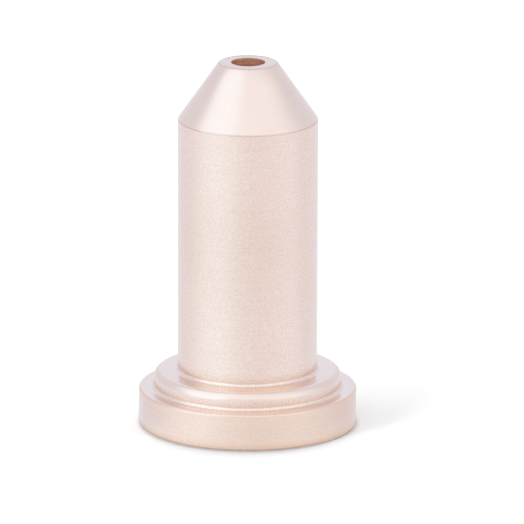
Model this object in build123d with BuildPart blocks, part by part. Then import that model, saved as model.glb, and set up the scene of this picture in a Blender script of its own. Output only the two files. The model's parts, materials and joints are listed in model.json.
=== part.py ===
"""A plasma torch nozzle, turned in one piece from copper bar.

The barrel stands on a stepped flange, and its nose tapers to the orifice that the arc leaves by.
Inside, a chamber for the electrode runs from a tapered seat in the base up to a throat and the orifice.
The frame's origin is the centre of the base, with +Z along the nozzle's axis towards the nose.
"""

import os
from math import radians, tan

from build123d import *

# Barrel and nose, in millimetres and degrees
barrel_diameter = 10.25
barrel_length = 18.95
nose_half_angle = 35.0
nose_land = 0.9

# Stepped flange: each ledge is how far its ring stands out past the ring above it
step_ledge = 1.775
step_height = 1.3
flange_ledge = 1.1
flange_height = 2.7

# Gas passage, from the orifice back to the seat in the base
orifice_diameter = 2.5
orifice_length = 3.5
throat_half_angle = 45.0
chamber_wall = 1.325
seat_ledge = 1.7
seat_half_angle = 45.0

# Corners that the turning tool rounds
foot_radius = 0.25
flange_edge_radius = 0.2
step_edge_radius = 0.6
shoulder_radius = 0.2
throat_inlet_radius = 0.3

# Edges broken after facing and parting off; the orifice keeps a sharp exit
base_edge_chamfer = 0.05
nose_edge_chamfer = 0.08

# Radii that follow from the sizes above
barrel_radius = barrel_diameter / 2
step_radius = barrel_radius + step_ledge
flange_radius = step_radius + flange_ledge
orifice_radius = orifice_diameter / 2
nose_radius = orifice_radius + nose_land
chamber_radius = barrel_radius - chamber_wall
seat_radius = chamber_radius + seat_ledge

# Heights above the base that follow from the sizes above
step_top = flange_height + step_height
shoulder = step_top + barrel_length
nose_top = shoulder + (barrel_radius - nose_radius) / tan(radians(nose_half_angle))
throat_top = nose_top - orifice_length
chamber_top = throat_top - (chamber_radius - orifice_radius) / tan(radians(throat_half_angle))
seat_top = seat_ledge / tan(radians(seat_half_angle))

# Corners of the half section, as (radius, height), up the outside and back down the passage
base_edge = (flange_radius, 0)
flange_edge = (flange_radius, flange_height)
step_foot = (step_radius, flange_height)
step_edge = (step_radius, step_top)
barrel_foot = (barrel_radius, step_top)
barrel_shoulder = (barrel_radius, shoulder)
nose_edge = (nose_radius, nose_top)
orifice_edge = (orifice_radius, nose_top)
throat_inlet = (orifice_radius, throat_top)
chamber_end = (chamber_radius, chamber_top)
seat_inner_edge = (chamber_radius, seat_top)
seat_outer_edge = (seat_radius, 0)

corner_radii = {
    flange_edge: flange_edge_radius,
    step_foot: foot_radius,
    step_edge: step_edge_radius,
    barrel_foot: foot_radius,
    barrel_shoulder: shoulder_radius,
    throat_inlet: throat_inlet_radius,
}

edge_chamfers = {
    base_edge: base_edge_chamfer,
    nose_edge: nose_edge_chamfer,
}

# Nozzle: the half section, with its corners rounded and its edges broken, turned about the axis
with BuildPart() as nozzle:
    with BuildSketch(Plane.XZ) as half_section:
        with BuildLine():
            Polyline(
                base_edge,
                flange_edge,
                step_foot,
                step_edge,
                barrel_foot,
                barrel_shoulder,
                nose_edge,
                orifice_edge,
                throat_inlet,
                chamber_end,
                seat_inner_edge,
                seat_outer_edge,
                close=True,
            )
        make_face()
        for corner, radius in corner_radii.items():
            fillet(half_section.vertices().sort_by_distance(corner).first, radius=radius)
        for corner, length in edge_chamfers.items():
            chamfer(half_section.vertices().sort_by_distance(corner).first, length=length)
    revolve(axis=Axis.Z)

nozzle.part.label = "nozzle"

os.makedirs("parts", exist_ok=True)
export_step(nozzle.part, "parts/nozzle.step")
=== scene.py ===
"""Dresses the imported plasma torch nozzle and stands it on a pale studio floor.

The nozzle is one piece, turned from copper bar: a plain barrel on a stepped flange, a nose that tapers
to the orifice, and a hollow passage behind it. The visible mesh is turned ring by ring to the sizes of
the solid it stands for. Each zone of it carries the marks of the tool that cut it.
"""

import json
import logging
import math
from collections.abc import Callable
from dataclasses import dataclass, replace
from enum import Enum

import bmesh
import bpy
from mathutils import Matrix, Vector


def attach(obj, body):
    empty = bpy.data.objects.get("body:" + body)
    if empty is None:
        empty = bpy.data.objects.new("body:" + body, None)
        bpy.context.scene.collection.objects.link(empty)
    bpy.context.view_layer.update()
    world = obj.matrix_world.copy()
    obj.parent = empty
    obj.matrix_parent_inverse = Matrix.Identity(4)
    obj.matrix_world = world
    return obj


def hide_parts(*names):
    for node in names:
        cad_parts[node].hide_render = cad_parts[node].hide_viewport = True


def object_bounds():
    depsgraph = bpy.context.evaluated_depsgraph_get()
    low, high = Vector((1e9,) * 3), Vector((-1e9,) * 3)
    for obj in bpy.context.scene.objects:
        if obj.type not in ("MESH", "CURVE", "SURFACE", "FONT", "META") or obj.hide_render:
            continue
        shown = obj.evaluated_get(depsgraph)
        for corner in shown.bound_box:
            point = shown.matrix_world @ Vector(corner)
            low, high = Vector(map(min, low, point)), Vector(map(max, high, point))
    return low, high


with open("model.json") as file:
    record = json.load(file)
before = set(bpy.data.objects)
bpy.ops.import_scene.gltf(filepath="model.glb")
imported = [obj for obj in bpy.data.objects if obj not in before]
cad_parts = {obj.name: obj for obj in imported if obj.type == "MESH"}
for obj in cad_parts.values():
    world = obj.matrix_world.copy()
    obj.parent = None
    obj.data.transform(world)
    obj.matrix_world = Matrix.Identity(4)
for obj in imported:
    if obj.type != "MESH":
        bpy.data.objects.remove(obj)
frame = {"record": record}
CAD_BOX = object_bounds()

LOG = logging.getLogger("nozzle")
MM = 0.001
MICROMETRE = 1e-6

Colour = tuple[float, float, float]
Socket = bpy.types.NodeSocket
Number = float | Socket
Tint = Colour | Socket

WHITE: Colour = (1.0, 1.0, 1.0)


class Zone(Enum):
    """The surfaces that have a finish of their own, some with painted light or shade in their colour, as the
    numbers of their material slots.
    """

    SIDE = 0
    FACE = 1
    NOSE = 2
    PASSAGE = 3
    EDGE = 4
    FLANGE = 5
    LEDGE = 6
    RIM = 7
    CHAMBER = 8
    LIP = 9


class Cut(Enum):
    """How a corner of the section is finished, as the profile number of a bevel."""

    ROUND = 0.5
    CHAMFER = 0.25


@dataclass(frozen=True)
class Corner:
    """One corner of the nozzle's half section, in millimetres.

    Args:
        radius: Distance from the axis.
        height: Height above the base.
        reach: How far the rounding or chamfer reaches along each side, or 0 where the corner is sharp.
        cut: Whether the corner is rounded or chamfered.
        steps: How many faces the rounding or chamfer is made of.
        rings: How many rings divide the run from the corner before to this one.
    """

    radius: float
    height: float
    reach: float = 0.0
    cut: Cut = Cut.ROUND
    steps: int = 1
    rings: int = 1


@dataclass(frozen=True)
class CopperFinish:
    """How one zone of the copper looks.

    Args:
        label: Name of the material.
        bright: Colour of the clean metal.
        deep: Colour where the random clouds and the painted shade spot deepen the metal.
        roughness: Mean roughness.
        roughness_swing: How far the grain moves the roughness either way.
        stretch: Anisotropy, across the rings that the tool leaves.
        rings_per_mm: How closely the turned rings lie.
        ring_share: Share of the relief that the rings have; the grain has the rest.
        grain_per_mm: How closely the grain lies.
        relief_um: Height of the relief, in micrometres.
        cloud: How much of the deep colour the random clouds and the painted shade spot bring in.
        speck: How much darker the grain's specks are.
        line: How much darker the rings' lines are.
        corner: How much of the painted corner shade shows above each foot.
        run_out: How far the turned rings wander on their way round.
    """

    label: str
    bright: Colour
    deep: Colour
    roughness: float
    roughness_swing: float
    stretch: float
    rings_per_mm: float
    ring_share: float
    grain_per_mm: float
    relief_um: float
    cloud: float
    speck: float
    line: float
    corner: float = 0.0
    run_out: float = 1.5


def heading(azimuth: float, elevation: float = 0.0) -> Vector:
    """A direction in the studio.

    Args:
        azimuth: Degrees from the front, positive towards +X.
        elevation: Degrees above the floor.

    Returns:
        The unit vector.
    """
    turn, lift = math.radians(azimuth), math.radians(elevation)
    return Vector((math.sin(turn) * math.cos(lift), -math.cos(turn) * math.cos(lift), math.sin(lift)))


def deselect_all() -> None:
    """Go to object mode, with nothing selected."""
    if bpy.context.mode != "OBJECT":
        bpy.ops.object.mode_set(mode="OBJECT")
    bpy.ops.object.select_all(action="DESELECT")


class NodeSheet:
    """A node tree with short calls for adding and joining nodes."""

    # Numbers of the sockets that a mix node has for colours
    MIX_FACTOR, MIX_FIRST, MIX_SECOND = 0, 6, 7
    MIX_COLOUR = 2

    def __init__(self, tree: bpy.types.NodeTree) -> None:
        """Keep the tree, emptied.

        Args:
            tree: The node tree to fill.
        """
        self.tree = tree
        tree.nodes.clear()

    def feed(self, socket: Socket, value: object) -> None:
        """Link an input to the socket that feeds it, or set its own value.

        Args:
            socket: The input.
            value: The socket that feeds it, or a plain value. A plain colour is given without alpha.
        """
        if isinstance(value, Socket):
            self.tree.links.new(value, socket)
        elif socket.type == "RGBA":
            socket.default_value = (*value, 1.0)
        else:
            socket.default_value = value

    def add(self, kind: str, values: dict | None = None, **settings: object) -> bpy.types.Node:
        """Add a node.

        Args:
            kind: The node's type name.
            values: Input name or number to a value, or to the socket that feeds it.
            settings: The node's own properties.

        Returns:
            The new node.
        """
        node = self.tree.nodes.new(kind)
        for name, setting in settings.items():
            setattr(node, name, setting)
        for name, value in (values or {}).items():
            self.feed(node.inputs[name], value)
        return node

    def group(self, tree: bpy.types.NodeTree, values: dict) -> bpy.types.NodeOutputs:
        """Place a node group.

        Args:
            tree: The group.
            values: Input name to a value, or to the socket that feeds it.

        Returns:
            The group's outputs.
        """
        return self.add("ShaderNodeGroup", values, node_tree=tree).outputs

    def math(self, operation: str, first: Number, second: Number = 0.0, third: Number = 0.0) -> Socket:
        """Add a math node.

        Args:
            operation: The node's operation.
            first: First number.
            second: Second number.
            third: Third number.

        Returns:
            The result.
        """
        return self.add("ShaderNodeMath", {0: first, 1: second, 2: third}, operation=operation).outputs[0]

    def inverse(self, share: Number) -> Socket:
        """Add a node that gives what a share leaves of 1."""
        return self.math("SUBTRACT", 1.0, share)

    def vector(self, operation: str, first: Tint, second: Tint = (0.0, 0.0, 0.0)) -> Socket:
        """Add a vector math node that gives a vector or a colour.

        Args:
            operation: The node's operation.
            first: First vector or colour.
            second: Second vector or colour.

        Returns:
            The result.
        """
        return self.add("ShaderNodeVectorMath", {0: first, 1: second}, operation=operation).outputs["Vector"]

    def measure(self, operation: str, first: Tint, second: Tint = (0.0, 0.0, 0.0)) -> Socket:
        """Add a vector math node that gives a number.

        Args:
            operation: The node's operation.
            first: First vector.
            second: Second vector.

        Returns:
            The result.
        """
        return self.add("ShaderNodeVectorMath", {0: first, 1: second}, operation=operation).outputs["Value"]

    def scale(self, vector: Tint, factor: Number) -> Socket:
        """Add a node that multiplies a vector or a colour by a number."""
        values = {0: vector, "Scale": factor}
        return self.add("ShaderNodeVectorMath", values, operation="SCALE").outputs["Vector"]

    def noise(self, place: Socket, scale: Number, detail: float) -> Socket:
        """Add a noise texture.

        Args:
            place: Where it is read.
            scale: How closely it lies.
            detail: How many finer octaves it has.

        Returns:
            The noise, from 0 to 1.
        """
        values = {"Vector": place, "Scale": scale, "Detail": detail}
        return self.add("ShaderNodeTexNoise", values).outputs["Fac"]

    def facing(self, way: Socket, toward: Vector) -> Socket:
        """How far a direction faces another: 1 along it and 0 across it or away.

        Args:
            way: The direction.
            toward: The direction to compare with.

        Returns:
            The cosine between the two, or 0 where that is negative.
        """
        return self.math("MAXIMUM", self.measure("DOT_PRODUCT", way, tuple(toward)), 0.0)

    def ease(self, value: Socket, low: Number, high: Number) -> Socket:
        """Ease a value from 0 to 1 over a range.

        Args:
            value: The value.
            low: Where the result leaves 0.
            high: Where the result reaches 1.

        Returns:
            The eased value.
        """
        limits = {0: value, 1: low, 2: high, 3: 0.0, 4: 1.0}
        return self.add("ShaderNodeMapRange", limits, interpolation_type="SMOOTHSTEP").outputs[0]

    def blend(self, share: Number, first: Tint, second: Tint) -> Socket:
        """Mix two colours.

        Args:
            share: Share of the second colour.
            first: First colour.
            second: Second colour.

        Returns:
            The mixed colour.
        """
        values = {self.MIX_FACTOR: share, self.MIX_FIRST: first, self.MIX_SECOND: second}
        return self.add("ShaderNodeMix", values, data_type="RGBA").outputs[self.MIX_COLOUR]

    def tint(self, colour: Tint, share: Number, tone: Colour) -> Socket:
        """Multiply a colour by a tone.

        Args:
            colour: The colour.
            share: How much of the tone is used.
            tone: The tone.

        Returns:
            The tinted colour.
        """
        return self.vector("MULTIPLY", colour, self.blend(share, WHITE, tone))

    def mix(self, share: Number, first: bpy.types.Node, second: bpy.types.Node) -> bpy.types.Node:
        """Mix two shaders.

        Args:
            share: Share of the second shader.
            first: Node of the first shader.
            second: Node of the second shader.

        Returns:
            The node of the mixed shader.
        """
        return self.add("ShaderNodeMixShader", {0: share, 1: first.outputs[0], 2: second.outputs[0]})


class CopperEffects:
    """Node groups that the copper finishes share. Each reads a position in metres."""

    # How many finer octaves each noise has
    RING_DETAIL = 3.0
    GRAIN_DETAIL = 2.0
    CLOUD_DETAIL = 3.0
    # Heights of the noise over which a line or a speck comes in
    RING_LINE = (0.4, 0.62)
    GRAIN_SPECK = (0.36, 0.64)
    # Inputs for the feet, millimetres below a foot at which its painted shade starts, and how steeply it
    # fades
    FEET = ("Foot 1", "Foot 2", "Foot 3")
    FOOT_SLACK = 0.03
    FOOT_FADE = 2.0

    def __init__(self, shade_spot: Vector) -> None:
        """Build every group once.

        Args:
            shade_spot: Middle of the painted shade spot on the barrel's front, in metres.
        """
        self.rings = self._turned_rings()
        self.grain = self._fine_grain()
        self.clouds_and_shade = self._clouds_and_painted_shade(shade_spot)
        self.corners = self._painted_corner_shade()

    @staticmethod
    def _open(
        name: str, inputs: dict[str, float], outputs: tuple[str, ...]
    ) -> tuple[NodeSheet, bpy.types.NodeOutputs]:
        """Start a group that reads a position.

        Args:
            name: The group's name.
            inputs: Names and first values of the number inputs.
            outputs: Names of the number outputs.

        Returns:
            The group's sheet, and what the group is given.
        """
        tree = bpy.data.node_groups.new(name, "ShaderNodeTree")
        tree.interface.new_socket("Position", in_out="INPUT", socket_type="NodeSocketVector")
        for label, value in inputs.items():
            socket = tree.interface.new_socket(label, in_out="INPUT", socket_type="NodeSocketFloat")
            socket.default_value = value
        for label in outputs:
            tree.interface.new_socket(label, in_out="OUTPUT", socket_type="NodeSocketFloat")
        sheet = NodeSheet(tree)
        return sheet, sheet.add("NodeGroupInput").outputs

    @classmethod
    def _turned_rings(cls) -> bpy.types.NodeTree:
        """Rings that the tool leaves round the axis, along sides, tapers and faces alike.

        Returns:
            The group.
        """
        sheet, given = cls._open("turned_rings", {"Rings per mm": 6.0, "Run-out": 1.5}, ("Height", "Line"))
        x, y, z = sheet.add("ShaderNodeSeparateXYZ", {0: given["Position"]}).outputs
        level = sheet.add("ShaderNodeCombineXYZ", {0: x, 1: y}).outputs[0]
        travel = sheet.math("SUBTRACT", z, sheet.measure("LENGTH", level))
        travel = sheet.math("MULTIPLY", travel, 1.0 / MM)
        pitch = sheet.math("MULTIPLY", travel, given["Rings per mm"])
        along = sheet.add("ShaderNodeCombineXYZ", {2: pitch}).outputs[0]
        around = sheet.scale(sheet.vector("NORMALIZE", level), given["Run-out"])
        height = sheet.noise(sheet.vector("ADD", around, along), 1.0, cls.RING_DETAIL)
        sheet.add("NodeGroupOutput", {"Height": height, "Line": sheet.ease(height, *cls.RING_LINE)})
        return sheet.tree

    @classmethod
    def _fine_grain(cls) -> bpy.types.NodeTree:
        """The fine grain of a tumbled copper surface.

        Returns:
            The group.
        """
        sheet, given = cls._open("fine_grain", {"Grains per mm": 6.0}, ("Height", "Speck"))
        scale = sheet.math("MULTIPLY", given["Grains per mm"], 1.0 / MM)
        height = sheet.noise(given["Position"], scale, cls.GRAIN_DETAIL)
        sheet.add("NodeGroupOutput", {"Height": height, "Speck": sheet.ease(height, *cls.GRAIN_SPECK)})
        return sheet.tree

    @classmethod
    def _clouds_and_painted_shade(cls, shade_spot: Vector) -> bpy.types.NodeTree:
        """Slow random clouds of tone, and a painted shade spot that darkens the barrel's front.

        Args:
            shade_spot: Middle of the painted shade spot, in metres.

        Returns:
            The group.
        """
        numbers = {"Clouds per mm": 0.22, "Shade core": 1.5, "Shade edge": 6.0}
        sheet, given = cls._open("clouds_and_painted_shade", numbers, ("Cloud",))
        scale = sheet.math("MULTIPLY", given["Clouds per mm"], 1.0 / MM)
        clouds = sheet.noise(given["Position"], scale, cls.CLOUD_DETAIL)
        # Painted shade: a soft dark spot round a point on the barrel's front, added to the clouds
        away = sheet.measure("DISTANCE", given["Position"], tuple(shade_spot))
        away = sheet.math("MULTIPLY", away, 1.0 / MM)
        mark = sheet.inverse(sheet.ease(away, given["Shade core"], given["Shade edge"]))
        sheet.add("NodeGroupOutput", {"Cloud": sheet.math("ADD", clouds, mark)})
        return sheet.tree

    @classmethod
    def _painted_corner_shade(cls) -> bpy.types.NodeTree:
        """Painted shade: a deeper, more orange tone on a wall just above the foot it stands on.

        Returns:
            The group.
        """
        numbers = {**dict.fromkeys(cls.FEET, 0.0), "Reach": 0.8}
        sheet, given = cls._open("painted_corner_shade", numbers, ("Tone",))
        height = sheet.add("ShaderNodeSeparateXYZ", {0: given["Position"]}).outputs["Z"]
        height = sheet.math("MULTIPLY", height, 1.0 / MM)
        total = 0.0
        for foot in cls.FEET:
            above = sheet.math("SUBTRACT", height, given[foot])
            gone = sheet.math("DIVIDE", sheet.math("MAXIMUM", above, 0.0), given["Reach"])
            left = sheet.math("MAXIMUM", sheet.inverse(gone), 0.0)
            fade = sheet.math("POWER", left, cls.FOOT_FADE)
            started = sheet.math("GREATER_THAN", above, -cls.FOOT_SLACK)
            total = sheet.math("MULTIPLY_ADD", fade, started, total)
        sheet.add("NodeGroupOutput", {"Tone": total})
        return sheet.tree


class CopperShop:
    """Makes a material for each copper finish."""

    CORNER_SHADE_TINT: Colour = (0.90, 0.75, 0.62)
    SPECK_TINT: Colour = (0.95, 1.12, 1.28)
    QUARTER_TURN = 0.25

    def __init__(self, feet: tuple[float, float, float], shade_spot: Vector) -> None:
        """Keep the feet and build the shared effects.

        Args:
            feet: Heights of the three feet that walls stand on, in millimetres.
            shade_spot: Middle of the painted shade spot on the barrel's front, in metres.
        """
        self.feet = dict(zip(CopperEffects.FEET, feet))
        self.effects = CopperEffects(shade_spot)

    def material(self, finish: CopperFinish) -> bpy.types.Material:
        """Make the material of a finish.

        Args:
            finish: The finish.

        Returns:
            The new material.
        """
        material = bpy.data.materials.new(finish.label)
        material.use_nodes = True
        sheet = NodeSheet(material.node_tree)
        place = {"Position": sheet.add("ShaderNodeTexCoord").outputs["Object"]}
        turning = {"Rings per mm": finish.rings_per_mm, "Run-out": finish.run_out}
        rings = sheet.group(self.effects.rings, place | turning)
        grain = sheet.group(self.effects.grain, place | {"Grains per mm": finish.grain_per_mm})
        # Random clouds of tone, with the painted shade spot on the barrel's front added in
        cloud = sheet.group(self.effects.clouds_and_shade, place)["Cloud"]
        corner = sheet.group(self.effects.corners, place | self.feet)["Tone"]

        metal = sheet.blend(sheet.math("MULTIPLY", cloud, finish.cloud), finish.bright, finish.deep)
        # Painted shade: a deeper, more orange tone on the walls just above each foot
        metal = sheet.tint(metal, sheet.math("MULTIPLY", corner, finish.corner), self.CORNER_SHADE_TINT)
        speck_tone = tuple(1.0 - finish.speck * part for part in self.SPECK_TINT)
        metal = sheet.tint(metal, grain["Speck"], speck_tone)
        metal = sheet.scale(metal, sheet.math("MULTIPLY_ADD", rings["Line"], -finish.line, 1.0))

        smoothest = finish.roughness - finish.roughness_swing
        roughness = sheet.math("MULTIPLY_ADD", grain["Speck"], 2.0 * finish.roughness_swing, smoothest)
        tangent = sheet.add("ShaderNodeTangent", direction_type="RADIAL", axis="Z")
        shader = sheet.add(
            "ShaderNodeBsdfPrincipled",
            {
                "Base Color": metal,
                "Metallic": 1.0,
                "Roughness": roughness,
                "Anisotropic": finish.stretch,
                "Anisotropic Rotation": self.QUARTER_TURN,
                "Normal": self._relief(sheet, finish, rings["Height"], grain["Height"]),
                "Tangent": tangent.outputs[0],
            },
        )
        sheet.add("ShaderNodeOutputMaterial", {"Surface": shader.outputs[0]})
        return material

    @staticmethod
    def _relief(sheet: NodeSheet, finish: CopperFinish, rings: Socket, grain: Socket) -> Socket:
        """The normals that rings and grain give the metal.

        Args:
            sheet: The material's sheet.
            finish: The finish.
            rings: Height of the turned rings, from 0 to 1.
            grain: Height of the grain, from 0 to 1.

        Returns:
            The normal.
        """
        grain_part = sheet.math("MULTIPLY", grain, 1.0 - finish.ring_share)
        height = sheet.math("MULTIPLY_ADD", rings, finish.ring_share, grain_part)
        relief = {"Strength": 1.0, "Distance": finish.relief_um * MICROMETRE, "Height": height}
        return sheet.add("ShaderNodeBump", relief).outputs[0]


@dataclass
class TurnedNozzle:
    """The nozzle's visible mesh and its finishes, in millimetres and degrees.

    Args:
        finishes: The finish of each zone.
        flange_radius: Radius of the flange.
        barrel_radius: Radius of the barrel.
        chamber_radius: Radius of the electrode chamber.
        orifice_radius: Radius of the orifice.
        flange_top: Height of the flange's top.
        nose_top: Height of the nose's face.
        nose_radius: Radius of the nose's face.
        step_radius: Radius of the step that stands on the flange.
        seat_radius: Radius of the seat where it opens in the base.
        step_top: Height of the step's top.
        nose_half_angle: Angle between the taper of the nose and the axis.
        throat_half_angle: Angle between the throat and the axis.
        orifice_length: Length of the orifice.
        seat_depth: Depth of the seat.
        foot_round: Radius at the feet of the step and the barrel.
        flange_round: Radius at the flange's edge.
        step_round: Radius at the step's edge.
        shoulder_round: Radius where the barrel meets the taper.
        throat_round: Radius where the throat meets the orifice.
        base_chamfer: Chamfer at the base's edge.
        nose_chamfer: Chamfer at the nose's edge.
        shade_spot_height: Height of the painted shade spot on the barrel.
        shade_spot_azimuth: Degrees from the front to that spot, positive towards +X.
        sectors: How many sides the turned mesh has.
    """

    finishes: dict[Zone, CopperFinish]
    flange_radius: float
    barrel_radius: float
    chamber_radius: float
    orifice_radius: float
    flange_top: float
    nose_top: float
    nose_radius: float = 2.15
    step_radius: float = 6.9
    seat_radius: float = 5.5
    step_top: float = 4.0
    nose_half_angle: float = 35.0
    throat_half_angle: float = 45.0
    orifice_length: float = 3.5
    seat_depth: float = 1.7
    foot_round: float = 0.25
    flange_round: float = 0.2
    step_round: float = 0.6
    shoulder_round: float = 0.2
    throat_round: float = 0.3
    base_chamfer: float = 0.05
    nose_chamfer: float = 0.08
    shade_spot_height: float = 14.0
    shade_spot_azimuth: float = -8.0
    sectors: int = 256

    # How near to a corner the points of its ring lie, and how near to each other points are welded
    RING_SLACK = 0.01
    WELD = 0.0001
    # Edges that turn by more than this angle stay sharp, and large faces weigh most in the normals
    SHARP_ANGLE = 30.0
    FACE_WEIGHT = 100
    # Part of a normal above which a face counts as level, as upright, or as facing out from the axis
    LEVEL = 0.94
    UPRIGHT = 0.9
    OUTWARD = 0.2

    @classmethod
    def from_frame(cls, finishes: dict[Zone, CopperFinish]) -> "TurnedNozzle":
        """Take the sizes that the frame gives: the radii from the mounts, the height from the CAD box.

        Args:
            finishes: The finish of each zone.

        Returns:
            The nozzle, ready to build.
        """
        mounts = {mount["name"]: mount for mount in frame["record"]["mounts"]}
        return cls(
            finishes=finishes,
            flange_radius=mounts["flange_rim"]["dims"]["r_mm"],
            barrel_radius=mounts["barrel"]["dims"]["r_mm"],
            chamber_radius=mounts["electrode_chamber"]["dims"]["r_mm"],
            orifice_radius=mounts["orifice"]["dims"]["r_mm"],
            flange_top=mounts["clamp_shoulder"]["pos_m"][2] / MM,
            nose_top=CAD_BOX[1][2] / MM,
        )

    @property
    def shoulder(self) -> float:
        """Height at which the barrel meets the taper of the nose."""
        rise = (self.barrel_radius - self.nose_radius) / math.tan(math.radians(self.nose_half_angle))
        return self.nose_top - rise

    @property
    def throat_top(self) -> float:
        """Height at which the throat meets the orifice."""
        return self.nose_top - self.orifice_length

    @property
    def chamber_top(self) -> float:
        """Height at which the chamber meets the throat."""
        rise = (self.chamber_radius - self.orifice_radius) / math.tan(math.radians(self.throat_half_angle))
        return self.throat_top - rise

    @property
    def feet(self) -> tuple[float, float, float]:
        """Heights of the feet that the flange, the step and the barrel stand on."""
        return 0.0, self.flange_top + self.foot_round, self.step_top + self.foot_round

    @property
    def shade_spot(self) -> Vector:
        """Middle of the painted shade spot on the barrel, in metres."""
        return heading(self.shade_spot_azimuth) * self.barrel_radius * MM + Vector((0, 0, self.shade_spot_height * MM))

    @staticmethod
    def _reach(radius: float, turn: float) -> float:
        """How far a rounding reaches along each side of a corner that turns by an angle in degrees."""
        return radius * math.tan(math.radians(turn / 2))

    def corners(self) -> list[Corner]:
        """The half section's corners, up the outside and back down the passage.

        Returns:
            The corners in turning order.
        """
        shoulder_reach = self._reach(self.shoulder_round, self.nose_half_angle)
        throat_reach = self._reach(self.throat_round, self.throat_half_angle)
        return [
            Corner(self.flange_radius, 0.0, self.base_chamfer, Cut.CHAMFER),
            Corner(self.flange_radius, self.flange_top, self.flange_round, steps=8, rings=3),
            Corner(self.step_radius, self.flange_top, self.foot_round, steps=8, rings=2),
            Corner(self.step_radius, self.step_top, self.step_round, steps=16),
            Corner(self.barrel_radius, self.step_top, self.foot_round, steps=8),
            Corner(self.barrel_radius, self.shoulder, shoulder_reach, steps=6, rings=12),
            Corner(self.nose_radius, self.nose_top, self.nose_chamfer, Cut.CHAMFER, rings=4),
            Corner(self.orifice_radius, self.nose_top, rings=2),
            Corner(self.orifice_radius, self.throat_top, throat_reach, steps=5, rings=6),
            Corner(self.chamber_radius, self.chamber_top, rings=3),
            Corner(self.chamber_radius, self.seat_depth, rings=10),
            Corner(self.seat_radius, 0.0, rings=2),
        ]

    def build(self) -> bpy.types.Object:
        """Turn the mesh: a ring is drawn out along the section, closed, rounded and smoothed.

        Returns:
            The finished object, in the CAD frame.
        """
        deselect_all()
        corners = self.corners()
        first = corners[0]
        bpy.ops.mesh.primitive_circle_add(
            vertices=self.sectors,
            radius=first.radius * MM,
            fill_type="NOTHING",
            location=(0, 0, first.height * MM),
        )
        piece = bpy.context.active_object
        piece.name = piece.data.name = "turned_nozzle"
        bpy.ops.object.mode_set(mode="EDIT")
        bpy.ops.mesh.select_mode(type="EDGE")
        bpy.ops.mesh.select_all(action="SELECT")
        for before, after in zip(corners, corners[1:]):
            self._draw_run(before, after)
        self._select_edges(lambda edge: edge.is_boundary)
        bpy.ops.mesh.bridge_edge_loops()
        for corner in corners:
            if corner.reach:
                self._finish_corner(corner)
        self._smooth(piece)
        return piece

    @staticmethod
    def _draw_run(before: Corner, after: Corner) -> None:
        """Draw the selected ring of edges out from one corner to the next, ring by ring.

        Args:
            before: The corner that the selected ring lies on.
            after: The corner that the last new ring lies on.
        """
        radius, height = before.radius, before.height
        for ring in range(1, after.rings + 1):
            share = ring / after.rings
            next_radius = before.radius + (after.radius - before.radius) * share
            next_height = before.height + (after.height - before.height) * share
            rise = (0, 0, (next_height - height) * MM)
            bpy.ops.mesh.extrude_edges_move(
                TRANSFORM_OT_translate={"value": rise, "orient_type": "GLOBAL"}
            )
            if next_radius != radius:
                grow = next_radius / radius
                bpy.ops.transform.resize(value=(grow, grow, 1), center_override=(0, 0, next_height * MM))
            radius, height = next_radius, next_height

    @staticmethod
    def _select_edges(wanted: Callable[[bmesh.types.BMEdge], bool]) -> None:
        """Select the edges that pass a test, and no others, in edit mode.

        Args:
            wanted: The test.
        """
        bpy.ops.mesh.select_all(action="DESELECT")
        mesh = bpy.context.edit_object.data
        work = bmesh.from_edit_mesh(mesh)
        for edge in work.edges:
            if wanted(edge):
                edge.select = True
        work.select_flush_mode()
        bmesh.update_edit_mesh(mesh)

    def _finish_corner(self, corner: Corner) -> None:
        """Round or chamfer the ring of edges at a corner, in edit mode.

        Args:
            corner: The corner.
        """
        place = Vector((corner.radius, corner.height)) * MM

        def on_ring(vertex: bmesh.types.BMVert) -> bool:
            """Whether a vertex lies on the corner's ring."""
            away = Vector((vertex.co.xy.length, vertex.co.z)) - place
            return away.length < self.RING_SLACK * MM

        self._select_edges(lambda edge: all(on_ring(vertex) for vertex in edge.verts))
        bpy.ops.mesh.bevel(
            offset_type="OFFSET",
            offset=corner.reach * MM,
            segments=corner.steps,
            profile=corner.cut.value,
            affect="EDGES",
            clamp_overlap=False,
        )

    def _smooth(self, piece: bpy.types.Object) -> None:
        """Weld the mesh, turn its faces outwards and smooth all but its sharp edges.

        Args:
            piece: The nozzle's object, in edit mode.
        """
        bpy.ops.mesh.select_all(action="SELECT")
        bpy.ops.mesh.remove_doubles(threshold=self.WELD * MM)
        bpy.ops.mesh.normals_make_consistent(inside=False)
        bpy.ops.object.mode_set(mode="OBJECT")
        bpy.ops.object.shade_smooth_by_angle(angle=math.radians(self.SHARP_ANGLE))
        even = piece.modifiers.new("even_normals", "WEIGHTED_NORMAL")
        even.keep_sharp = True
        even.weight = self.FACE_WEIGHT
        bpy.ops.object.modifier_apply(modifier=even.name)
        deselect_all()

    def zone(self, centre: Vector, normal: Vector) -> Zone:
        """The zone that a face belongs to.

        Args:
            centre: The face's centre, in metres.
            normal: The face's normal.

        Returns:
            The zone.
        """
        outward = Vector((centre.x, centre.y, 0)).normalized().dot(normal)
        height = centre.z / MM
        if outward < -self.OUTWARD:
            return Zone.PASSAGE if height > self.throat_top else Zone.CHAMBER
        if abs(normal.z) > self.LEVEL:
            return Zone.LEDGE if 0 < height < self.shoulder else Zone.FACE
        bands = (
            (self.nose_top - self.nose_chamfer, self.nose_top, Zone.LIP),
            (self.shoulder - self.shoulder_round, self.shoulder + self.shoulder_round, Zone.EDGE),
            (self.shoulder, self.nose_top, Zone.NOSE),
            (self.step_top - self.step_round, self.step_top, Zone.NOSE),
            (self.flange_top - self.flange_round, self.flange_top, Zone.RIM),
        )
        for low, high, band in bands:
            if outward > self.OUTWARD and low < height < high:
                return band
        return Zone.FLANGE if height < self.flange_top and outward > self.UPRIGHT else Zone.SIDE

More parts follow.
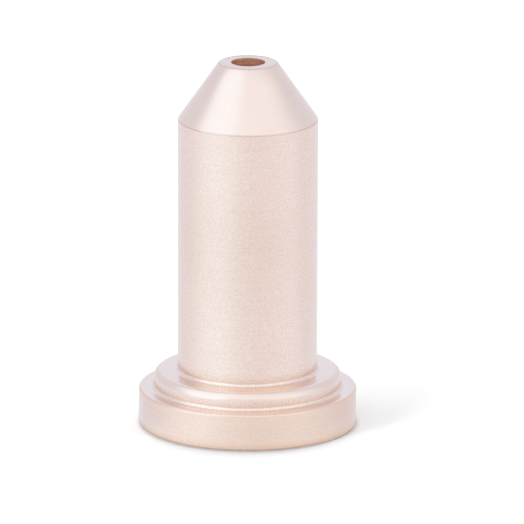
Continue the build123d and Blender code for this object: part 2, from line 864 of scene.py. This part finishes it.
    def dress(self, piece: bpy.types.Object, shop: CopperShop) -> None:
        """Give each zone of the mesh its finish.

        Args:
            piece: The nozzle's object.
            shop: Maker of the materials.
        """
        for zone in Zone:
            piece.data.materials.append(shop.material(self.finishes[zone]))
        for face in piece.data.polygons:
            face.material_index = self.zone(face.center, face.normal).value


@dataclass(frozen=True)
class Softbox:
    """A rectangular studio light that looks at the nozzle. The copper doesn't mirror it.

    Args:
        label: Name of the lamp.
        azimuth: Degrees from the front, positive towards +X.
        elevation: Degrees above the floor.
        width: Metres across.
        height: Metres up.
        radiance: Brightness of its face, where 1 is white.
        distance: Metres from the nozzle.
    """

    label: str
    azimuth: float
    elevation: float
    width: float
    height: float
    radiance: float
    distance: float = 1.0

    def place(self, target: Vector) -> bpy.types.Object:
        """Hang the lamp.

        Args:
            target: The point it looks at.

        Returns:
            The lamp's object.
        """
        light = bpy.data.lights.new(self.label, "AREA")
        light.shape = "RECTANGLE"
        light.size = self.width
        light.size_y = self.height
        light.energy = self.radiance * math.pi * self.width * self.height
        lamp = bpy.data.objects.new(self.label, light)
        toward = heading(self.azimuth, self.elevation)
        lamp.location = target + toward * self.distance
        lamp.rotation_euler = toward.to_track_quat("Z", "Y").to_euler()
        lamp.visible_camera = False
        lamp.visible_glossy = False
        bpy.context.scene.collection.objects.link(lamp)
        return lamp


@dataclass(frozen=True)
class Panel:
    """A brighter patch of the studio walls that the copper mirrors.

    Args:
        azimuth: Degrees from the front to its middle, positive towards +X.
        elevation: Degrees above the floor to its middle.
        outer: Degrees from its middle to where it fades out.
        inner: Degrees from its middle to where it starts to fade.
        colour: Its colour, where 1 is white.
    """

    azimuth: float
    elevation: float
    outer: float
    inner: float
    colour: Colour


@dataclass(frozen=True)
class Card:
    """A patch of the floor, seen in the copper, that lies out one way from the nozzle.

    Args:
        azimuth: Degrees from the front, positive towards +X.
        focus: How narrow the patch is; its share is the cosine from its middle to this power.
        colour: Its colour.
        reach: Metres from the axis to where it fades out, or 0 where it goes on.
    """

    azimuth: float
    focus: float
    colour: Colour
    reach: float = 0.0

    FADE_START = 0.6

    @property
    def fade(self) -> tuple[float, float]:
        """Metres from the axis to where the patch starts to fade, and to where it is gone."""
        return self.FADE_START * self.reach, self.reach


@dataclass
class Studio:
    """Camera, floor, lamps and surroundings, in metres and degrees.

    Args:
        elevation: How far the camera stands above level.
        distance: How far the camera stands from the point it looks at.
        aim_height: Height of that point.
        aim_side: How far that point lies towards +X.
        lean: How far the camera leans.
        field_width: Width of the picture at that point.
        sensor_mm: Width of the camera's sensor, in millimetres.
        clip: Nearest and farthest that the camera sees.
        floor_side: Side of the floor.
        floor_drop: How far the floor lies below the base.
        floor_fade: From where to where the seen floor turns to plain white.
        floor_seen: Colour of the floor itself.
        floor_colour: Colour of the floor in the copper.
        cards: Patches of the floor in the copper.
        hollow_reach: From where to where the floor in the copper comes out of the dark of the chamber.
        hollow_tone: Colour of the floor in that dark.
        contact_shadow_start: Radius from which a painted contact shadow darkens the floor in the copper,
            close to the flange.
        contact_shadow_reach: From where to where that painted shadow fades.
        contact_shadow_azimuth: Way in which that painted shadow is strongest, and so is its opposite.
        contact_shadow_tone: Tone of that painted shadow.
        front_colour: Colour of the walls in front.
        back_colour: Colour of the walls behind.
        behind: Parts of a direction towards +Y over which the front walls turn to the back walls.
        low_colour: Colour of the walls in front where they meet the floor.
        low_reach: Elevations from which to which that colour fades.
        panels: Brighter patches of the walls.
        fill_colour: Colour of the light that the walls give the floor.
        lamps: The lamps, which light the floor round the nozzle and so cast its shadow.
    """

    elevation: float = 15.372
    distance: float = 0.717
    aim_height: float = 12.09 * MM
    aim_side: float = 1.044 * MM
    lean: float = 0.13
    field_width: float = 38.416 * MM
    sensor_mm: float = 36.0
    clip: tuple[float, float] = (0.01, 50.0)
    floor_side: float = 6.0
    floor_drop: float = 0.01 * MM
    floor_fade: tuple[float, float] = (0.05, 0.15)
    floor_seen: Colour = (0.98, 0.98, 0.98)
    floor_colour: Colour = (0.946, 0.943, 0.983)
    cards: tuple[Card, ...] = (
        Card(azimuth=180.0, focus=0.75, colour=(0.866, 0.907, 1.015)),
        Card(azimuth=-52.0, focus=4.0, colour=(1.065, 1.144, 1.225)),
        Card(azimuth=72.0, focus=5.0, colour=(0.98, 1.004, 1.075)),
        Card(azimuth=105.0, focus=14.0, colour=(0.905, 0.922, 0.985)),
        Card(azimuth=-48.0, focus=14.0, colour=(1.09, 1.168, 1.27), reach=24.0 * MM),
        Card(azimuth=42.0, focus=10.0, colour=(1.0, 1.01, 1.08), reach=24.0 * MM),
        Card(azimuth=-100.0, focus=4.0, colour=(0.872, 0.91, 1.045), reach=22.0 * MM),
        Card(azimuth=100.0, focus=4.0, colour=(0.85, 0.855, 0.95), reach=22.0 * MM),
    )
    hollow_reach: tuple[float, float] = (3.0 * MM, 4.0 * MM)
    hollow_tone: Colour = (0.32, 0.20, 0.15)
    contact_shadow_start: float = 7.95 * MM
    contact_shadow_reach: tuple[float, float] = (8.0 * MM, 8.6 * MM)
    contact_shadow_azimuth: float = -15.0
    contact_shadow_tone: Colour = (0.50, 0.52, 0.55)
    front_colour: Colour = (1.078, 1.122, 1.192)
    back_colour: Colour = (0.83, 0.854, 0.957)
    behind: tuple[float, float] = (-0.35, 0.45)
    low_colour: Colour = (0.84, 0.87, 0.96)
    low_reach: tuple[float, float] = (-3.0, 25.0)
    panels: tuple[Panel, ...] = (
        Panel(azimuth=-54.0, elevation=17.0, outer=34.0, inner=15.0, colour=(1.20, 1.42, 1.60)),
        Panel(azimuth=50.0, elevation=18.0, outer=30.0, inner=12.0, colour=(1.10, 1.14, 1.17)),
        Panel(azimuth=-70.0, elevation=51.0, outer=37.5, inner=13.0, colour=(1.155, 1.295, 1.43)),
    )
    fill_colour: Colour = (0.286, 0.290, 0.298)
    lamps: tuple[Softbox, ...] = (
        Softbox("overhead_softbox", azimuth=-176.5, elevation=78.9, width=0.23, height=0.145, radiance=40.5),
        Softbox("low_softbox", azimuth=-46.0, elevation=17.6, width=0.263, height=0.393, radiance=12.1),
        Softbox("right_softbox", azimuth=113.0, elevation=65.0, width=0.536, height=0.23, radiance=5.24),
        Softbox("left_softbox", azimuth=-84.7, elevation=50.5, width=0.86, height=0.767, radiance=1.56),
    )

    def set_camera(self) -> None:
        """Set the camera at the photograph's viewing angle."""
        data = bpy.data.cameras.new("camera")
        data.sensor_width = self.sensor_mm
        data.lens = self.sensor_mm * self.distance / self.field_width
        data.clip_start, data.clip_end = self.clip
        camera = bpy.data.objects.new("camera", data)
        back = heading(0.0, self.elevation)
        aim = Vector((self.aim_side, 0, self.aim_height))
        turn = back.to_track_quat("Z", "Y").to_matrix().to_4x4()
        roll = Matrix.Rotation(math.radians(self.lean), 4, "Z")
        camera.matrix_world = Matrix.Translation(aim + back * self.distance) @ turn @ roll
        bpy.context.scene.collection.objects.link(camera)
        bpy.context.scene.camera = camera

    def lay_floor(self) -> bpy.types.Object:
        """Lay the pale floor.

        Returns:
            The floor's object.
        """
        deselect_all()
        bpy.ops.mesh.primitive_plane_add(size=self.floor_side, location=(0, 0, -self.floor_drop))
        floor = bpy.context.active_object
        floor.name = floor.data.name = "studio_floor"
        floor.data.materials.append(self._floor_material())
        return floor

    def _floor_material(self) -> bpy.types.Material:
        """Paper that keeps the nozzle's shadow, is white far off, and is clear from below.

        Returns:
            The floor's material.
        """
        material = bpy.data.materials.new("studio_floor")
        material.use_nodes = True
        material.cycles.emission_sampling = "NONE"
        sheet = NodeSheet(material.node_tree)
        place = sheet.add("ShaderNodeTexCoord").outputs["Object"]
        radius = sheet.measure("LENGTH", place)
        path = sheet.add("ShaderNodeLightPath").outputs
        paper = sheet.add("ShaderNodeBsdfDiffuse", {"Color": self.floor_seen})
        image = sheet.add("ShaderNodeEmission", {"Color": self._floor_image(sheet, place, radius)})
        close_by = sheet.mix(self._mirrored(sheet, path), paper, image)
        far_off = sheet.add("ShaderNodeEmission", {"Color": WHITE})
        far_share = sheet.math("MULTIPLY", sheet.ease(radius, *self.floor_fade), path["Is Camera Ray"])
        from_above = sheet.mix(far_share, close_by, far_off)
        from_below = sheet.add("ShaderNodeBsdfTransparent")
        below = sheet.add("ShaderNodeNewGeometry").outputs["Backfacing"]
        surface = sheet.mix(below, from_above, from_below)
        sheet.add("ShaderNodeOutputMaterial", {"Surface": surface.outputs[0]})
        return material

    def _floor_image(self, sheet: NodeSheet, place: Socket, radius: Socket) -> Socket:
        """The floor as the copper mirrors it: its cards, the dark chamber and a painted contact shadow along
        the flange.

        Args:
            sheet: The floor's sheet.
            place: Place on the floor.
            radius: Distance from the axis.

        Returns:
            The colour.
        """
        way = sheet.vector("NORMALIZE", place)
        image = self.floor_colour
        for card in self.cards:
            share = sheet.math("POWER", sheet.facing(way, heading(card.azimuth)), card.focus)
            if card.reach:
                share = sheet.math("MULTIPLY", share, sheet.inverse(sheet.ease(radius, *card.fade)))
            image = sheet.blend(share, image, card.colour)
        image = sheet.blend(sheet.ease(radius, *self.hollow_reach), self.hollow_tone, image)
        # Painted contact shadow: the floor in the copper darkens just outside the flange, most towards front
        # and back
        contact = sheet.inverse(sheet.ease(radius, *self.contact_shadow_reach))
        outside = sheet.math("GREATER_THAN", radius, self.contact_shadow_start)
        contact = sheet.math("MULTIPLY", contact, outside)
        along = sheet.measure("DOT_PRODUCT", way, tuple(heading(self.contact_shadow_azimuth)))
        contact = sheet.math("MULTIPLY", contact, sheet.math("ABSOLUTE", along))
        return sheet.tint(image, contact, self.contact_shadow_tone)

    @staticmethod
    def _mirrored(sheet: NodeSheet, path: bpy.types.NodeOutputs) -> Socket:
        """Whether a ray comes straight from a mirror, and not by way of the floor.

        Args:
            sheet: The sheet to add to.
            path: Outputs of the sheet's light path node.

        Returns:
            1 for such a ray and 0 for others.
        """
        direct = sheet.inverse(sheet.math("MINIMUM", path["Diffuse Depth"], 1.0))
        bounced = sheet.math("MAXIMUM", path["Is Glossy Ray"], path["Is Transmission Ray"])
        return sheet.math("MULTIPLY", direct, bounced)

    def set_surroundings(self) -> None:
        """Surround the nozzle with pale walls: a little cool behind it, a little brighter in front."""
        world = bpy.data.worlds.new("studio_walls")
        world.use_nodes = True
        world.cycles.sampling_method = "NONE"
        bpy.context.scene.world = world
        sheet = NodeSheet(world.node_tree)
        way = sheet.add("ShaderNodeTexCoord").outputs["Generated"]
        parts = sheet.add("ShaderNodeSeparateXYZ", {0: way}).outputs
        behind = sheet.ease(parts["Y"], *self.behind)
        walls = sheet.blend(behind, self.front_colour, self.back_colour)
        low, high = (math.sin(math.radians(angle)) for angle in self.low_reach)
        lowered = sheet.inverse(sheet.ease(parts["Z"], low, high))
        dim = sheet.math("MULTIPLY", lowered, sheet.inverse(behind))
        walls = sheet.blend(dim, walls, self.low_colour)
        for panel in self.panels:
            wide, narrow = (math.cos(math.radians(angle)) for angle in (panel.outer, panel.inner))
            toward = sheet.facing(way, heading(panel.azimuth, panel.elevation))
            walls = sheet.blend(sheet.ease(toward, wide, narrow), walls, panel.colour)
        path = sheet.add("ShaderNodeLightPath").outputs
        colour = sheet.blend(self._mirrored(sheet, path), self.fill_colour, walls)
        colour = sheet.blend(path["Is Camera Ray"], colour, WHITE)
        light = sheet.add("ShaderNodeBackground", {"Color": colour, "Strength": 1.0})
        sheet.add("ShaderNodeOutputWorld", {"Surface": light.outputs[0]})

    def set_up(self) -> None:
        """Set up camera, floor, lamps, surroundings and colour view."""
        self.set_camera()
        floor = self.lay_floor()
        LOG.info("%s: %.1f m square", floor.name, self.floor_side)
        self.set_surroundings()
        for softbox in self.lamps:
            lamp = softbox.place(Vector((0, 0, self.aim_height)))
            LOG.info("%s: %.2f by %.2f m", lamp.name, softbox.width, softbox.height)
        bpy.context.scene.view_settings.view_transform = "Standard"


TURNED = CopperFinish(
    label="copper_turned_side",
    bright=(0.935, 0.776, 0.690),
    deep=(0.875, 0.715, 0.624),
    roughness=0.2,
    roughness_swing=0.04,
    stretch=0.15,
    rings_per_mm=7.0,
    ring_share=0.35,
    grain_per_mm=12.0,
    relief_um=0.5,
    cloud=0.5,
    speck=0.125,
    line=0.02,
    corner=0.73,
)

FACED = CopperFinish(
    label="copper_faced",
    bright=(0.93, 0.775, 0.68),
    deep=(0.85, 0.68, 0.58),
    roughness=0.2,
    roughness_swing=0.03,
    stretch=0.3,
    rings_per_mm=10.0,
    ring_share=0.7,
    grain_per_mm=8.0,
    relief_um=0.6,
    cloud=0.4,
    speck=0.02,
    line=0.03,
)

# Painted shade: a darker copy of the copper that draws a dark line along the shoulder's round
PAINTED_EDGE = CopperFinish(
    label="copper_edge_painted_shade",
    bright=(0.775, 0.60, 0.505),
    deep=(0.715, 0.535, 0.435),
    roughness=0.25,
    roughness_swing=0.03,
    stretch=0.2,
    rings_per_mm=9.0,
    ring_share=0.5,
    grain_per_mm=8.0,
    relief_um=0.3,
    cloud=0.5,
    speck=0.05,
    line=0.0,
)

FINISHES: dict[Zone, CopperFinish] = {
    Zone.SIDE: TURNED,
    Zone.FACE: FACED,
    # Painted shade: a slightly dimmer copy of the turned copper that tones down highlights on the taper and
    # step round; its rougher, finer turning is real
    Zone.NOSE: CopperFinish(
        label="copper_turned_nose_painted_shade",
        bright=(0.885, 0.738, 0.653),
        deep=(0.81, 0.65, 0.56),
        roughness=0.27,
        roughness_swing=0.012,
        stretch=0.4,
        rings_per_mm=9.0,
        ring_share=0.5,
        grain_per_mm=8.0,
        relief_um=0.15,
        cloud=0.4,
        speck=0.012,
        line=0.01,
    ),
    # Partly painted reflection: the rough bored rings are real, but the deep orange stands in for the copper
    # reflecting itself inside the bore
    Zone.PASSAGE: CopperFinish(
        label="copper_bored",
        bright=(1.0, 0.58, 0.415),
        deep=(0.96, 0.49, 0.33),
        roughness=0.55,
        roughness_swing=0.05,
        stretch=0.4,
        rings_per_mm=6.0,
        ring_share=0.85,
        grain_per_mm=6.0,
        relief_um=4.0,
        cloud=0.6,
        speck=0.05,
        line=0.26,
        run_out=0.3,
    ),
    Zone.EDGE: PAINTED_EDGE,
    # Painted shade: a darker, more orange copy of the turned copper, for the shaded floor and the copper's
    # own reflected light that the flange mirrors near the base
    Zone.FLANGE: replace(
        TURNED,
        label="copper_turned_flange_painted_shade",
        bright=(0.886, 0.710, 0.596),
        deep=(0.828, 0.651, 0.538),
        roughness=0.22,
        roughness_swing=0.03,
        relief_um=0.4,
        speck=0.075,
        corner=1.0,
    ),
    # Painted light: a brighter copy of the faced copper, so that the walls the ledges mirror show brighter
    Zone.LEDGE: replace(
        FACED,
        label="copper_faced_ledge_painted_light",
        bright=(0.972, 0.84, 0.768),
        deep=(0.90, 0.745, 0.665),
    ),
    # Painted reflection: a more orange copy on the flange's rounded edge, for the orange band its highlight
    # mixes with
    Zone.RIM: replace(
        PAINTED_EDGE,
        label="copper_rim_painted_reflection",
        bright=(0.878, 0.668, 0.543),
        deep=(0.82, 0.595, 0.472),
        roughness=0.22,
        roughness_swing=0.02,
        cloud=0.4,
        speck=0.03,
    ),
    Zone.CHAMBER: CopperFinish(
        label="copper_bored_chamber",
        bright=(0.93, 0.71, 0.59),
        deep=(0.87, 0.62, 0.50),
        roughness=0.32,
        roughness_swing=0.03,
        stretch=0.4,
        rings_per_mm=8.0,
        ring_share=0.85,
        grain_per_mm=8.0,
        relief_um=1.0,
        cloud=0.4,
        speck=0.03,
        line=0.06,
    ),
    # Painted shade: a dimmer copy of the copper that draws a faint line along the nose's chamfer
    Zone.LIP: replace(
        PAINTED_EDGE,
        label="copper_broken_lip_painted_shade",
        bright=(0.82, 0.668, 0.592),
        deep=(0.76, 0.60, 0.52),
    ),
}


def main() -> None:
    """Build the nozzle, dress it and set it in the studio."""
    logging.basicConfig(level=logging.INFO, format="%(name)s: %(message)s")
    Studio().set_up()
    nozzle = TurnedNozzle.from_frame(FINISHES)
    piece = nozzle.build()
    nozzle.dress(piece, CopperShop(nozzle.feet, nozzle.shade_spot))
    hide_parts("nozzle")
    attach(piece, "root")
    LOG.info("%s: %d faces", piece.name, len(piece.data.polygons))


if __name__ == "__main__":
    main()
